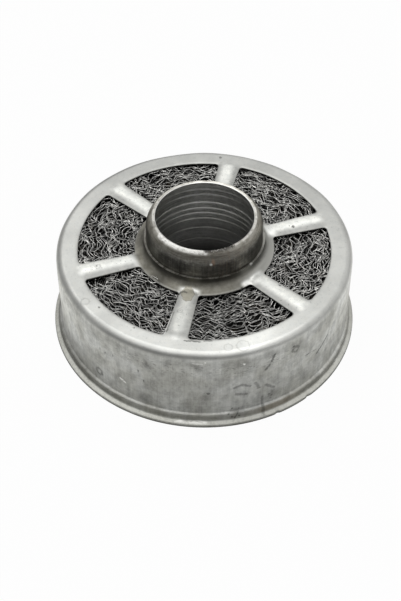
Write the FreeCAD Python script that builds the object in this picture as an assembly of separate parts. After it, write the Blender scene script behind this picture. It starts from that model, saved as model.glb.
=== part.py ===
"""Air filter element: a drawn sheet-metal shell packed with knitted wire, on a swaged centre tube.

Air goes through the six windows of the shell's top, through the packing and out of the windows of
the lower grille, or the other way round, and the centre tube carries it on to the engine.

The frame: +Z is the axis of the tube, z = 0 is the plane that the flared rim stands on, and one
spoke of the six points SPOKE_TURN degrees round from +X. All sizes are in millimetres.
"""
import FreeCAD
import Part

import math
import os

Vector = FreeCAD.Vector
AXIS = Vector(0, 0, 1)
CENTRE = Vector(0, 0, 0)

BEND_STEP = 45.0            # most degrees turned at one step of a bend

# Outer shell, drawn from one disc of sheet
SHEET = 0.8
SHELL_TOP = 36.4            # height of the flat top over the rim's foot
COLLAR_HEIGHT = 4.6         # of the upright collar's cut edge over the flat top
COLLAR_FILLET = 3.7         # sweep from the collar out to the flat top
CORNER_RADIUS = 3.0         # between the flat top and the side wall
WALL_RADIUS = 57.0

# Foot of the shell: a shoulder that seats the lower grille, a plain band and a flared rim
SHOULDER_HEIGHT = 5.1
SHOULDER_STEP = 1.2         # how far the shoulder stands out from the wall
SHOULDER_DROP = 0.7         # how far it slopes down over that step
RIM_FLARE = 1.8             # how far the rim stands out from the band
FLARE_HEIGHT = 2.2          # where the band starts to flare
RIM_EDGE = 0.9              # upright edge at the rim's foot

# Windows and spokes, the same in the shell's top and in the lower grille
SPOKE_COUNT = 6
SPOKE_TURN = 18.0
SPOKE_ROOT_WIDTH = 7.2
SPOKE_TIP_WIDTH = 8.8
TOP_RING_WIDTH = 5.5        # flat ring between the windows and the corner bend
WINDOW_CORNER = 1.2

# Stiffening bead pressed along every spoke of the shell
BEAD_RADIUS = 2.9
BEAD_RISE = 1.2             # how far the bead's crest stands over the sheet
BEAD_RUN_OUT = 2.5          # length over which each end of the bead dies away
BEAD_INSET = 1.0            # from the window's ends to the bead's full height

# Centre tube, swaged in at its mouth and flanged out under the lower grille
TUBE_RADIUS = 22.2
TUBE_WALL = 0.9
NECK_HEIGHT = 11.0          # how far the tube stands out of the collar
SWAGE_RADIUS = 7.3
SWAGE_ANGLE = 50.0
FLANGE_WIDTH = 2.4

# Ridges rolled into the tube's bore side by side, by their depths below its mouth
RIDGE_DEPTHS = (12.8, 15.8, 18.3)
RIDGE_HEIGHT = 0.45
RIDGE_WIDTH = 2.2

# Knitted wire ribbon, crimped and wound into a roll round the tube
TURN_SPACING = 4.1
RIBBON_THICKNESS = 1.1
CRIMP_SWING = 1.0           # the crimp runs this far to each side of the ribbon's line
CRIMP_STEP = 3.8            # along the ribbon, from one crest to the next trough
LOOP_RISE = 1.8             # how far the knitted loops stand out of the ribbon's edges at each crest
CLIMB_SHARE = 0.03          # share of each turn over which it climbs on to the last one

# Clearances
TUBE_FIT = 0.1              # collar or grille round the tube
GRILLE_FIT = 0.2            # grille inside the band
SEAT_GAP = 0.05             # faces that bear on each other
PACKING_GAP = 0.15          # packing to the plates above and below it
PACKING_SIDE_GAP = 0.3      # packing to the tube


def tube_top():
    return SHELL_TOP + COLLAR_HEIGHT + NECK_HEIGHT


def collar_radius():
    """Outer radius of the collar, which fits round the tube."""
    return TUBE_RADIUS + TUBE_FIT + SHEET


def window_inner_radius():
    """The windows start where the collar's sweep meets the flat top."""
    return collar_radius() + COLLAR_FILLET


def window_outer_radius():
    return WALL_RADIUS - CORNER_RADIUS - TOP_RING_WIDTH


def spoke_angles():
    return [SPOKE_TURN + 360.0 * i / SPOKE_COUNT for i in range(SPOKE_COUNT)]


def polar(radius, degrees, z=0.0):
    a = math.radians(degrees)
    return Vector(radius * math.cos(a), radius * math.sin(a), z)


def unit(start, end):
    length = math.dist(start, end)
    return ((end[0] - start[0]) / length, (end[1] - start[1]) / length)


def turn(before, after):
    """Signed angle from one direction to the next; positive to the left."""
    cross = before[0] * after[1] - before[1] * after[0]
    dot = before[0] * after[0] + before[1] * after[1]
    return math.atan2(cross, dot)


def offset_line(points, distance):
    """The open line of points moved to its right by a distance, with its corners mitred."""
    sides = []
    for start, end in zip(points, points[1:]):
        way = unit(start, end)
        sides.append((way[1], -way[0]))
    moved = []
    for point, before, after in zip(points, sides[:1] + sides, sides + sides[-1:]):
        share = distance / (1 + before[0] * after[0] + before[1] * after[1])
        moved.append((point[0] + share * (before[0] + after[0]), point[1] + share * (before[1] + after[1])))
    return moved


def bend_points(before, corner, after, radius):
    """The corners of a bend from one run into the next: short straight steps, each of which is
    tangent to the bend's true arc."""
    way_in, way_out = unit(before, corner), unit(corner, after)
    angle = turn(way_in, way_out)
    steps = math.ceil(round(abs(math.degrees(angle)) / BEND_STEP, 3))
    reach = radius * math.tan(abs(angle) / 2)
    start = (corner[0] - reach * way_in[0], corner[1] - reach * way_in[1])
    side = math.copysign(radius, angle)
    centre = (start[0] - side * way_in[1], start[1] + side * way_in[0])
    spread = radius / math.cos(angle / steps / 2)
    heading = math.atan2(start[1] - centre[1], start[0] - centre[0])
    points = []
    for i in range(steps):
        a = heading + (i + 0.5) * angle / steps
        points.append((centre[0] + spread * math.cos(a), centre[1] + spread * math.sin(a)))
    return points


def turned(section):
    """The closed section, given as (radius, height) points, turned about the axis."""
    outline = Part.makePolygon([Vector(r, 0, z) for r, z in section + section[:1]])
    return Part.Face(outline).revolve(CENTRE, AXIS, 360)


def spoke_edge(radius, width, angle, side):
    """The point at a radius on one edge of a spoke of that width; side is 1 or -1."""
    return polar(radius, angle + side * math.degrees(math.asin(width / 2 / radius)))


def window_cutter(angle, bottom, height):
    """A prism that pierces the window between the spoke at an angle and the next one."""
    inner, outer = window_inner_radius(), window_outer_radius()
    following = angle + 360.0 / SPOKE_COUNT
    middle = (angle + following) / 2
    root_start = spoke_edge(inner, SPOKE_ROOT_WIDTH, angle, 1)
    tip_start = spoke_edge(outer, SPOKE_TIP_WIDTH, angle, 1)
    tip_end = spoke_edge(outer, SPOKE_TIP_WIDTH, following, -1)
    root_end = spoke_edge(inner, SPOKE_ROOT_WIDTH, following, -1)
    outline = Part.Wire([
        Part.makeLine(root_start, tip_start),
        Part.Arc(tip_start, polar(outer, middle), tip_end).toShape(),
        Part.makeLine(tip_end, root_end),
        Part.Arc(root_end, polar(inner, middle), root_start).toShape(),
    ])
    prism = Part.Face(outline).extrude(AXIS * height)
    upright = [e for e in prism.Edges if abs(e.BoundBox.ZLength - height) < 1e-6]
    prism = prism.makeFillet(WINDOW_CORNER, upright)
    prism.translate(AXIS * bottom)
    return prism


def pierced(sheet, bottom):
    """The sheet, whose flat part starts at a height, with its six windows cut out."""
    cutters = [window_cutter(a, bottom - SHEET, 3 * SHEET) for a in spoke_angles()]
    return sheet.cut(cutters)


def bead_bar(angle, radius):
    """A bar along a spoke, round in steps, that tapers towards both ends. Its axis lies so that a
    bar of BEAD_RADIUS stands BEAD_RISE over the flat top."""
    root = window_inner_radius() + BEAD_INSET
    tip = window_outer_radius() - BEAD_INSET
    ends = [(root - BEAD_RUN_OUT, radius - BEAD_RISE), (root, radius)]
    ends += [(tip, radius), (tip + BEAD_RUN_OUT, radius - BEAD_RISE)]
    sides = round(360 / BEND_STEP)
    outlines = []
    for x, size in ends:
        spread = size / math.cos(math.pi / sides)
        corners = []
        for i in range(sides + 1):
            a = 2 * math.pi * (i + 0.5) / sides
            corners.append(Vector(x, spread * math.sin(a), spread * math.cos(a)))
        outlines.append(Part.makePolygon(corners))
    bar = Part.makeLoft(outlines, True, True)
    bar.rotate(CENTRE, AXIS, angle)
    bar.translate(AXIS * (SHELL_TOP - BEAD_RADIUS + BEAD_RISE))
    return bar


def beaded(sheet):
    """The shell with a bead pressed up along each spoke: a crest over the sheet's middle, and the
    hollow that it leaves underneath."""
    upper = Part.makeCylinder(WALL_RADIUS, SHEET + BEAD_RISE, AXIS * (SHELL_TOP - SHEET / 2))
    crests = [bead_bar(a, BEAD_RADIUS).common(upper) for a in spoke_angles()]
    hollows = [bead_bar(a, BEAD_RADIUS - SHEET) for a in spoke_angles()]
    return sheet.fuse(crests).cut(hollows)


def shell_corners():
    """The outer side of the shell in section, from the collar's edge to the rim's foot, with every
    corner still sharp."""
    band = WALL_RADIUS + SHOULDER_STEP
    return [
        (collar_radius(), SHELL_TOP + COLLAR_HEIGHT),
        (collar_radius(), SHELL_TOP),
        (WALL_RADIUS, SHELL_TOP),
        (WALL_RADIUS, SHOULDER_HEIGHT),
        (band, SHOULDER_HEIGHT - SHOULDER_DROP),
        (band, FLARE_HEIGHT),
        (band + RIM_FLARE, RIM_EDGE),
        (band + RIM_FLARE, 0.0),
    ]


def make_outer_shell():
    edge, collar_foot, corner, *foot = shell_corners()
    outer = [edge]
    outer += bend_points(edge, collar_foot, corner, COLLAR_FILLET)
    outer += bend_points(collar_foot, corner, foot[0], CORNER_RADIUS)
    outer += foot
    sheet = turned(outer + offset_line(outer, SHEET)[::-1])
    return beaded(pierced(sheet, SHELL_TOP - SHEET)).removeSplitter()


def grille_radius():
    return WALL_RADIUS + SHOULDER_STEP - SHEET - GRILLE_FIT


def grille_top():
    """Height at which the grille's edge bears on the underside of the shoulder."""
    inside = offset_line(shell_corners(), SHEET)
    (r0, z0), (r1, z1) = inside[3], inside[4]
    return z0 + (z1 - z0) / (r1 - r0) * (grille_radius() - r0) - SEAT_GAP


def make_lower_grille():
    bottom = grille_top() - SHEET
    disc = Part.makeCylinder(grille_radius(), SHEET, AXIS * bottom)
    hole = Part.makeCylinder(TUBE_RADIUS + TUBE_FIT, SHEET, AXIS * bottom)
    return pierced(disc.cut(hole), bottom)


def make_centre_tube():
    swage = math.radians(SWAGE_ANGLE)
    reach = SWAGE_RADIUS * math.tan(swage / 2)
    mouth = (TUBE_RADIUS - reach * math.sin(swage), tube_top())
    bend = (TUBE_RADIUS, tube_top() - reach * math.cos(swage))
    foot = (TUBE_RADIUS, grille_top() - SHEET - SEAT_GAP)
    flange = (TUBE_RADIUS + FLANGE_WIDTH, foot[1])
    outer = [mouth] + bend_points(mouth, bend, foot, SWAGE_RADIUS) + [foot, flange]
    inner = offset_line(outer, TUBE_WALL)
    bore = TUBE_RADIUS - TUBE_WALL
    crests = [tube_top() - depth for depth in RIDGE_DEPTHS]
    troughs = [(upper + lower) / 2 for upper, lower in zip(crests, crests[1:])]
    troughs.append(crests[-1] - RIDGE_WIDTH / 2)
    ridges = [(bore, crests[0] + RIDGE_WIDTH / 2)]
    for crest, trough in zip(crests, troughs):
        ridges += [(bore - RIDGE_HEIGHT, crest), (bore, trough)]
    inner[-2:-2] = ridges
    return turned(outer + inner[::-1])


def upright_band(near_side, far_side, bottoms, tops):
    """The solid between two lines of points in plan, with a bottom and a top height at each."""
    sections = []
    for near, far, bottom, top in zip(near_side, far_side, bottoms, tops):
        low, high = AXIS * bottom, AXIS * top
        sections.append([near + low, far + low, far + high, near + high])
    outlines = [sections[0], sections[-1][::-1]]
    for here, there in zip(sections, sections[1:]):
        for i in range(4):
            quad = [here[i], there[i], there[i - 3], here[i - 3]]
            upright = i % 2 == 1
            outlines += [quad] if upright else [quad[:3], quad[2:] + quad[:1]]
    shell = Part.makeShell([Part.Face(Part.makePolygon(line + line[:1])) for line in outlines])
    shell.sewShape()
    return Part.makeSolid(shell)


def make_wire_packing():
    """The roll: one ribbon in even turns, its crimps swinging in and out from crest to trough, and
    its knitted edges standing up at every crest. Each turn lies evenly round the last and climbs
    where it comes to the ribbon's inner end. The outer end lies there too, so the roll is balanced
    about the tube."""
    half_space = CRIMP_SWING + RIBBON_THICKNESS / 2
    inner = TUBE_RADIUS + PACKING_SIDE_GAP + half_space
    outer = WALL_RADIUS - CORNER_RADIUS - half_space
    turns = round((outer - inner) / TURN_SPACING)
    spacing = (outer - inner) / turns
    bottom = grille_top() + PACKING_GAP
    top = SHELL_TOP - SHEET - PACKING_GAP
    near_side, far_side, bottoms, tops = [], [], [], []
    wound, swing = 0.0, 1
    while wound <= turns:
        lap, share = divmod(wound, 1)
        climbed = max(0.0, 1 - (1 - share) / CLIMB_SHARE)
        line = inner + spacing * (lap + climbed)
        crest = line + swing * CRIMP_SWING
        near_side.append(polar(crest - RIBBON_THICKNESS / 2, 360 * wound))
        far_side.append(polar(crest + RIBBON_THICKNESS / 2, 360 * wound))
        sunk = LOOP_RISE * (1 - swing) / 2
        bottoms.append(bottom + sunk)
        tops.append(top - sunk)
        wound += CRIMP_STEP / (2 * math.pi * line)
        swing = -swing
    return upright_band(near_side, far_side, bottoms, tops)


PIECES = {
    "outer_shell": make_outer_shell,
    "centre_tube": make_centre_tube,
    "wire_packing": make_wire_packing,
    "lower_grille": make_lower_grille,
}


def main():
    os.makedirs("parts", exist_ok=True)
    for node, make in PIECES.items():
        shape = make()
        solids = shape.Solids
        if not shape.isValid() or len(solids) != 1:
            raise ValueError(f"{node}: valid {shape.isValid()}, {len(solids)} solids")
        solids[0].exportStep(f"parts/{node}.step")
        print(f"{node}: {solids[0].Volume:.1f} mm3, {len(solids[0].Faces)} faces")


main()
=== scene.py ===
import math

import bpy
import numpy as np
from mathutils import Matrix, Vector
from mathutils.geometry import delaunay_2d_cdt


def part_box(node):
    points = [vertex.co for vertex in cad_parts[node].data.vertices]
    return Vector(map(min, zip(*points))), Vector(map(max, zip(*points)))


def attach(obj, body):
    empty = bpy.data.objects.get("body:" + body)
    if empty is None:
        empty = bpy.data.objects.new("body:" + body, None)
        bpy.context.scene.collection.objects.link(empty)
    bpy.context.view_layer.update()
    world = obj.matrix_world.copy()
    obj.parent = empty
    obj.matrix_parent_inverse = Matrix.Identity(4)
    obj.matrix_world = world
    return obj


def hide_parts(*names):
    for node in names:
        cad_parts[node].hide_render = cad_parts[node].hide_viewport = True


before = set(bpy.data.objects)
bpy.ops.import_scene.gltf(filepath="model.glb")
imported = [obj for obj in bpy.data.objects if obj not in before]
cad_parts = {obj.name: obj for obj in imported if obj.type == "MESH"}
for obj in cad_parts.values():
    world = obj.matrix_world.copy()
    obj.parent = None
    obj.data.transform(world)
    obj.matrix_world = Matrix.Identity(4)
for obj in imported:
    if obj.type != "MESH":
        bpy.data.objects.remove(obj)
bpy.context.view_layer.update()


# The outer shell is one disc of tinned steel drawn into a cup: a flat top, a side wall, a shoulder
# and a flared rim. Six windows are punched in its top, a bead is pressed along each spoke between
# them, and the collar in the middle is turned up round the centre tube. Sizes are in millimetres.

def placed(name, data):
    """A new object in the scene."""
    result = bpy.data.objects.new(name, data)
    bpy.context.scene.collection.objects.link(result)
    return result


class Skin:
    """The points and faces of a piece while it is put together."""

    def __init__(self):
        self.points = []
        self.faces = []
        self.count = 0

    def add(self, points):
        """Adds an array of points and returns their numbers in the same layout."""
        numbers = np.arange(self.count, self.count + points[..., 0].size).reshape(points.shape[:-1])
        self.points.append(points.reshape(-1, 3))
        self.count += numbers.size
        return numbers

    def bridge(self, near, far):
        """Joins two closed rings of points with quads."""
        quads = np.stack((near, far, np.roll(far, -1), np.roll(near, -1)), axis=1)
        self.faces.extend(quads.tolist())

    def bridge_rows(self, rows):
        for near, far in zip(rows, rows[1:]):
            self.bridge(near, far)

    def piece(self, name, sharp=35):
        """The finished mesh object, smooth except at edges sharper than an angle in degrees."""
        millimetre = 0.001
        mesh = bpy.data.meshes.new(name)
        mesh.from_pydata((np.concatenate(self.points) * millimetre).tolist(), [], self.faces)
        mesh.validate()
        mesh.shade_smooth()
        mesh.set_sharp_from_angle(angle=math.radians(sharp))
        return placed(name, mesh)


def full_turn(count):
    """Angles at equal steps round the axis."""
    return 2 * math.pi * np.arange(count) / count


def directions(turns):
    return np.stack((np.cos(turns), np.sin(turns)), axis=1)


def bend(way_in, corner, way_out, radius, steps):
    """Points round a corner's bend, and at each point the direction to the right of travel."""
    angle = math.atan2(way_in[0] * way_out[1] - way_in[1] * way_out[0], way_in @ way_out)
    turned = angle * np.linspace(0, 1, steps + 1)
    ways = np.stack((way_in[0] * np.cos(turned) - way_in[1] * np.sin(turned),
                     way_in[0] * np.sin(turned) + way_in[1] * np.cos(turned)), axis=1)
    rights = np.stack((ways[:, 1], -ways[:, 0]), axis=1)
    start = corner - way_in * radius * math.tan(abs(angle) / 2)
    return start + math.copysign(radius, angle) * (rights - rights[0]), rights


def bent_line(corners, radii, run_step, bend_steps=8):
    """A line through (radius, height) corners, each rounded by its own radius, with its straight
    runs in about equal steps: its points, and the directions to the right of travel."""
    corners = [np.array(corner, float) for corner in corners]
    ways = [(b - a) / np.linalg.norm(b - a) for a, b in zip(corners, corners[1:])]
    points, rights = [corners[0][None]], [np.array([[ways[0][1], -ways[0][0]]])]
    for i, way in enumerate(ways):
        right = np.array([[way[1], -way[0]]])
        if i + 1 < len(ways):
            next_points, next_rights = bend(way, corners[i + 1], ways[i + 1], radii[i], bend_steps)
        else:
            next_points, next_rights = corners[-1][None], right
        start, end = points[-1][-1], next_points[0]
        steps = max(1, round(float(np.linalg.norm(end - start)) / run_step))
        points.append(start + (end - start) * np.linspace(0, 1, steps + 1)[1:-1, None])
        rights.append(np.repeat(right, steps - 1, axis=0))
        points.append(next_points)
        rights.append(next_rights)
    return np.concatenate(points), np.concatenate(rights)


def turned_rows(line, count):
    """The line of (radius, height) points turned about the axis: a ring of points for each."""
    turns = full_turn(count)
    radius, height = line[:, 0, None], line[:, 1, None]
    return np.stack((radius * np.cos(turns), radius * np.sin(turns), height + 0 * turns), axis=2)


sheet = 0.8
shell_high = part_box("outer_shell")[1]
rim_radius = shell_high.x * 1000
collar_top = shell_high.z * 1000
collar_rise = 4.6
plate_top = collar_top - collar_rise
tube_radius = 22.2
tube_clearance = 0.1
collar_radius = tube_radius + tube_clearance + sheet
collar_sweep = 3.7
wall_radius = 57.0
corner_radius = 3.0
shoulder_height, shoulder_drop = 5.1, 0.7
flare_width, flare_top, flare_foot = 1.8, 2.2, 0.9
band_radius = rim_radius - flare_width
foot_bends = (0.6, 0.9, 1.2, 0.9)
border_width = 5.5
window_inner = collar_radius + collar_sweep
window_outer = wall_radius - corner_radius - border_width
window_corner = 1.3
spoke_turn = math.radians(18)
spoke_count = 6
spoke_sector = 2 * math.pi / spoke_count
spoke_root_width, spoke_tip_width = 7.2, 8.8
spoke_taper = math.atan((spoke_tip_width - spoke_root_width) / 2 / (window_outer - window_inner))
bead_rise = 0.55
bead_half_width = 3.2
bead_end = window_outer - 1.9
bead_start = 1.2
hub_join, side_join = 23.8, 53.8
round_count = 480
edge_spacing, fill_spacing, side_spacing = 0.6, 0.55, 1.6
dents = ((262, 16, 0.25), (300, 22, 0.20), (215, 14, 0.2), (70, 20, 0.3), (140, 12, 0.2))
dent_reach, dent_height = 9, 7
rim_nicks = (297.6, 311.4)
nick_depth, nick_reach = 0.4, 0.7


def along_and_across(x, y):
    """Places of points along and across the spoke that each is nearest to."""
    turn = np.arctan2(y, x) - spoke_turn
    turn -= spoke_sector * np.round(turn / spoke_sector)
    return np.hypot(x, y) * np.cos(turn), np.hypot(x, y) * np.sin(turn)


def spoke_half_width(along):
    return spoke_root_width / 2 + math.tan(spoke_taper) * (along - window_inner)


def window_outline(spoke_angle, grow):
    """The outline, grown by a distance, of the window that follows a spoke, anticlockwise."""
    centres = []
    for radius in (window_inner + window_corner, window_outer - window_corner):
        along = radius
        for _ in range(4):
            across = spoke_half_width(along) + window_corner / math.cos(spoke_taper)
            along = math.sqrt(radius ** 2 - across ** 2)
        centres.append((radius, math.atan2(across, along)))
    (low, low_turn), (high, high_turn) = centres
    near, far = spoke_taper - math.pi / 2, spoke_sector - spoke_taper + math.pi / 2
    corners = [
        (low, low_turn, low_turn - math.pi, near),
        (high, high_turn, near, high_turn),
        (high, spoke_sector - high_turn, spoke_sector - high_turn, far),
        (low, spoke_sector - low_turn, far, spoke_sector - low_turn + math.pi),
    ]
    arcs = []
    for radius, turn, start, end in corners:
        centre = radius * np.array((math.cos(turn), math.sin(turn)))
        arcs.append(centre + (window_corner + grow) * directions(np.linspace(start, end, 7)))
    outline = []
    side_radii = (None, window_outer + grow, None, window_inner - grow)
    for arc, following, radius in zip(arcs, arcs[1:] + arcs[:1], side_radii):
        outline.append(arc)
        start, end = arc[-1], following[0]
        steps = max(2, round(float(np.linalg.norm(end - start)) / edge_spacing))
        share = np.linspace(0, 1, steps + 1)[1:-1]
        if radius:
            first, last = math.atan2(start[1], start[0]), math.atan2(end[1], end[0])
            outline.append(radius * directions(first + (last - first) * share))
        else:
            outline.append(start + (end - start) * share[:, None])
    c, s = math.cos(spoke_angle), math.sin(spoke_angle)
    return np.concatenate(outline) @ np.array(((c, s), (-s, c)))


def plate_height(x, y):
    """Height of the sheet's upper side: the flat top, the sweep up to the collar and the beads."""
    radius = np.hypot(x, y)
    inward = np.clip(window_inner - radius, 0, collar_sweep)
    sweep = collar_sweep - np.sqrt(collar_sweep ** 2 - inward ** 2)
    along, across = along_and_across(x, y)
    off = np.hypot(across, np.maximum(0, along - bead_end)) / bead_half_width
    fade = np.clip((radius - hub_join) / bead_start, 0, 1)
    bead = bead_rise * np.clip(1 - off ** 2.4, 0, 1) ** 1.6 * fade * fade * (3 - 2 * fade)
    return plate_top + (sweep ** 3 + bead ** 3) ** (1 / 3)


def plate_normals(x, y):
    reach = 0.01
    slope_x = (plate_height(x + reach, y) - plate_height(x - reach, y)) / (2 * reach)
    slope_y = (plate_height(x, y + reach) - plate_height(x, y - reach)) / (2 * reach)
    normals = np.stack((-slope_x, -slope_y, np.ones_like(x)), axis=-1)
    return normals / np.linalg.norm(normals, axis=-1)[:, None]


def plate_plan():
    """The flat top in plan: its points, how far the punch rolled each one down, its triangles, and
    the numbers of the points of its two borders and six window outlines."""
    circle = directions(full_turn(round_count))
    rings = [hub_join * circle, side_join * circle]
    drops = [0.0, 0.0]
    rolled_edge = ((0, 0.30), (0.25, 0.10), (0.6, 0.02), (1.1, 0.0))
    for grow, drop in rolled_edge:
        for i in range(spoke_count):
            rings.append(window_outline(spoke_turn + i * spoke_sector, grow))
            drops.append(drop)
    grid = np.arange(-side_join, side_join, fill_spacing)
    x, y = np.meshgrid(grid, grid * math.sqrt(3) / 2 * 1.15)
    x[1::2] += fill_spacing / 2
    x, y = x.ravel(), y.ravel()
    radius = np.hypot(x, y)
    along, across = along_and_across(x, y)
    edge = 0.5 * fill_spacing
    margin = rolled_edge[-1][0] + edge
    windowed = (np.abs(across) > spoke_half_width(along) - margin) & (radius > window_inner - margin)
    windowed &= radius < window_outer + margin
    kept = (radius > hub_join + edge) & (radius < side_join - edge) & ~windowed
    rings.append(np.stack((x[kept], y[kept]), axis=1))
    drops.append(0.0)
    starts = np.cumsum([0] + [len(ring) for ring in rings])
    borders = [np.arange(starts[i], starts[i + 1]) for i in range(2 + spoke_count)]
    edges = [pair for ring in borders for pair in zip(ring.tolist(), np.roll(ring, -1).tolist())]
    plan = np.concatenate(rings)
    found = delaunay_2d_cdt([Vector(p) for p in plan.tolist()], edges, [], 1, 1e-5)
    original = np.array([sources[0] for sources in found[3]])
    triangles = original[np.array(found[2])]
    border_of = np.full(len(plan), -1)
    for number, border in enumerate(borders):
        if number != 1:
            border_of[border] = number
    owners = border_of[triangles]
    inside_hole = (owners[:, 0] >= 0) & (owners == owners[:, :1]).all(axis=1)
    return plan, np.repeat(drops, [len(ring) for ring in rings]), triangles[~inside_hole], borders


def along_rim(turn, degrees, radius):
    """Distances, round a circle, from the point at an angle in degrees."""
    return (np.remainder(turn - math.radians(degrees) + math.pi, 2 * math.pi) - math.pi) * radius


def settled(points):
    """Points of the shell moved by what years of use did: an uneven wall and top, a few dents in
    the wall and two nicks in the rim. A dent has its angle, its height and its depth."""
    x, y, z = points[..., 0], points[..., 1], points[..., 2]
    radius, turn = np.hypot(x, y), np.arctan2(y, x)
    wall_share = np.clip((radius - 54) / 2, 0, 1) * np.clip((z - 3) / 8, 0, 1)
    outward = 0.10 * np.sin(3 * turn + 0.6) + 0.07 * np.sin(7 * turn + z / 9)
    outward += 0.05 * np.sin(13 * turn - z / 5 + 1.0)
    outward = wall_share * (outward - 0.1)
    for degrees, height, depth in dents:
        away = along_rim(turn, degrees, wall_radius) / dent_reach
        outward -= wall_share * depth * np.exp(-away ** 2 - ((z - height) / dent_height) ** 2)
    for degrees in rim_nicks:
        away = along_rim(turn, degrees, rim_radius) / nick_reach
        outward -= nick_depth * np.clip((radius - 59) / 0.5, 0, 1) * np.exp(-away ** 2)
    top_share = np.clip((radius - 27) / 3, 0, 1) * np.clip((z - 30) / 5, 0, 1)
    upward = 0.06 * np.sin(x / 6.5 + 1.1) * np.sin(y / 7.5) + 0.03 * np.sin(x / 2.9 - y / 3.3)
    scale = 1 + outward / np.maximum(radius, 1)
    return np.stack((x * scale, y * scale, z + top_share * (upward - 0.08)), axis=-1)


def make_outer_shell():
    skin = Skin()
    hub_corner = math.acos((window_inner - hub_join) / collar_sweep)
    sweep = directions(math.pi + hub_corner * np.linspace(0, 1, 9))
    centre = np.array((window_inner, plate_top + collar_sweep))
    hub_line = np.concatenate(([(collar_radius, collar_top)], centre + collar_sweep * sweep))
    under_sweep = centre + (collar_sweep + sheet) * sweep
    hub_under = np.concatenate(([(collar_radius - sheet, collar_top)], under_sweep))
    foot = [(wall_radius, shoulder_height), (band_radius, shoulder_height - shoulder_drop),
            (band_radius, flare_top), (rim_radius, flare_foot), (rim_radius, 0.0)]
    corners = [(side_join, plate_top), (wall_radius, plate_top)] + foot
    side_line, side_rights = bent_line(corners, (corner_radius, *foot_bends), side_spacing)
    side_under = side_line + sheet * side_rights
    plan, drops, triangles, borders = plate_plan()
    x, y = plan[:, 0], plan[:, 1]
    top = np.column_stack((plan, plate_height(x, y)))
    under = top - sheet * plate_normals(x, y)
    under[borders[0], 2] = hub_under[-1][1]
    top[:, 2] -= drops
    ends = []
    for hub, plate, side in ((hub_line, top, side_line), (hub_under, under, side_under)):
        hub_rows = skin.add(turned_rows(hub[:-1], round_count))
        plate_points = skin.add(plate)
        side_rows = skin.add(turned_rows(side[1:], round_count))
        rows = [*hub_rows, plate_points[borders[0]]], [plate_points[borders[1]], *side_rows]
        ends.append((rows, plate_points))
    (top_rows, top_points), (under_rows, under_points) = ends
    for rows in top_rows:
        skin.bridge_rows(rows)
    for rows in under_rows:
        skin.bridge_rows(rows[::-1])
    skin.faces.extend(top_points[triangles].tolist())
    skin.faces.extend(under_points[triangles[:, ::-1]].tolist())
    skin.bridge(under_rows[0][0], top_rows[0][0])
    skin.bridge(top_rows[1][-1], under_rows[1][-1])
    for outline in borders[2:]:
        skin.bridge(under_points[outline], top_points[outline])
    skin.points = [settled(points) for points in skin.points]
    return skin.piece("drawn_shell")


drawn_shell = make_outer_shell()
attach(drawn_shell, "root")
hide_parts("outer_shell")


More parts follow.
